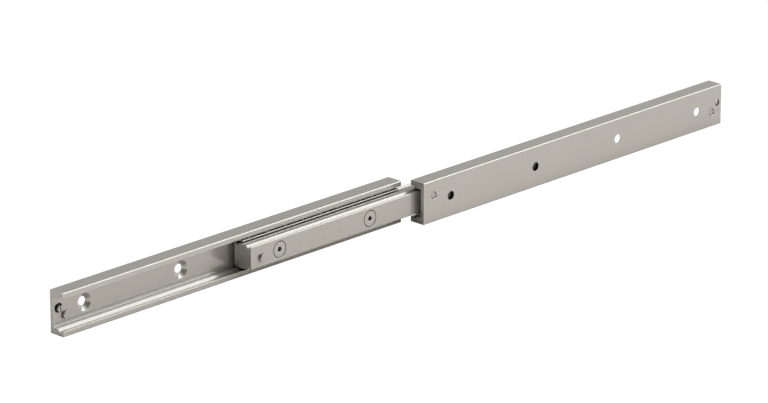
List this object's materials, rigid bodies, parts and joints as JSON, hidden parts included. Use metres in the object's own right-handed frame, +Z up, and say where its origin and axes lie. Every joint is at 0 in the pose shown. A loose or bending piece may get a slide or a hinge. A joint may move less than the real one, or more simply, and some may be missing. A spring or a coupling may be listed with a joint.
{
  "type": "cabinet drawer slide",
  "caption": "Full-extension telescopic ball-bearing drawer slide: two C rails back to back, joined by a pair of grooved sliders on caged balls, drawn fully out.",
  "frame": {"origin": "centre of the fixed rail's back face, the face that lies against the cabinet side", "axes": "+X along the rails, the way the drawer opens; +Y out of the fixed rail's back face, into the cabinet side; +Z up"},
  "size_m": [0.586, 0.026, 0.028],
  "materials": {
    "rail_steel": "satin nickel-zinc plating with a fine lengthwise grain",
    "slider_steel": "satin plating, ground lengthwise",
    "cage_steel": "matt yellowish zinc-plated sheet",
    "pin_steel": "plated, turned ends",
    "screw_steel": "plated, smooth",
    "ball_steel": "polished bearing steel"
  },
  "bodies": {
    "fixed_rail": {"fixed_rail": "rail_steel", "fixed_rail_inner_stop_pin": "pin_steel", "fixed_rail_outer_stop_pin": "pin_steel", "fixed_rail_end_stop_screw": "screw_steel"},
    "rear_cage": {"rear_ball_cage": "cage_steel", "rear_upper_ball_1": "ball_steel", "rear_upper_ball_2": "ball_steel", "rear_upper_ball_3": "ball_steel", "rear_upper_ball_4": "ball_steel", "rear_upper_ball_5": "ball_steel", "rear_upper_ball_6": "ball_steel", "rear_upper_ball_7": "ball_steel", "rear_upper_ball_8": "ball_steel", "rear_upper_ball_9": "ball_steel", "rear_lower_ball_1": "ball_steel", "rear_lower_ball_2": "ball_steel", "rear_lower_ball_3": "ball_steel", "rear_lower_ball_4": "ball_steel", "rear_lower_ball_5": "ball_steel", "rear_lower_ball_6": "ball_steel", "rear_lower_ball_7": "ball_steel", "rear_lower_ball_8": "ball_steel", "rear_lower_ball_9": "ball_steel"},
    "intermediate": {"rear_slider": "slider_steel", "front_slider": "slider_steel", "rear_slider_left_stop_pin": "pin_steel", "rear_slider_right_stop_pin": "pin_steel", "front_slider_left_stop_pin": "pin_steel", "front_slider_right_stop_pin": "pin_steel", "slider_screw_1": "screw_steel", "slider_screw_2": "screw_steel", "slider_screw_3": "screw_steel", "slider_screw_4": "screw_steel"},
    "front_cage": {"front_ball_cage": "cage_steel", "front_upper_ball_1": "ball_steel", "front_upper_ball_2": "ball_steel", "front_upper_ball_3": "ball_steel", "front_upper_ball_4": "ball_steel", "front_upper_ball_5": "ball_steel", "front_upper_ball_6": "ball_steel", "front_upper_ball_7": "ball_steel", "front_upper_ball_8": "ball_steel", "front_upper_ball_9": "ball_steel", "front_lower_ball_1": "ball_steel", "front_lower_ball_2": "ball_steel", "front_lower_ball_3": "ball_steel", "front_lower_ball_4": "ball_steel", "front_lower_ball_5": "ball_steel", "front_lower_ball_6": "ball_steel", "front_lower_ball_7": "ball_steel", "front_lower_ball_8": "ball_steel", "front_lower_ball_9": "ball_steel"},
    "moving_rail": {"moving_rail": "rail_steel", "moving_rail_inner_stop_pin": "pin_steel", "moving_rail_outer_stop_pin": "pin_steel", "moving_rail_end_stop_screw": "screw_steel"}
  },
  "joints": [
    {"name": "intermediate_slide", "type": "slide", "parent": "fixed_rail", "child": "intermediate", "axis": [1, 0, 0], "range_m": [-0.148, 0]},
    {"name": "drawer_rail_slide", "type": "slide", "parent": "intermediate", "child": "moving_rail", "axis": [1, 0, 0], "range_m": [-0.148, 0]},
    {"name": "rear_cage_slide", "type": "slide", "parent": "fixed_rail", "child": "rear_cage", "axis": [1, 0, 0], "range_m": [-0.074, 0]},
    {"name": "front_cage_slide", "type": "slide", "parent": "intermediate", "child": "front_cage", "axis": [1, 0, 0], "range_m": [-0.074, 0]}
  ],
  "couplings": [
    {"joint": "rear_cage_slide", "follows": "intermediate_slide", "ratio": 0.5},
    {"joint": "front_cage_slide", "follows": "drawer_rail_slide", "ratio": 0.5}
  ]
}
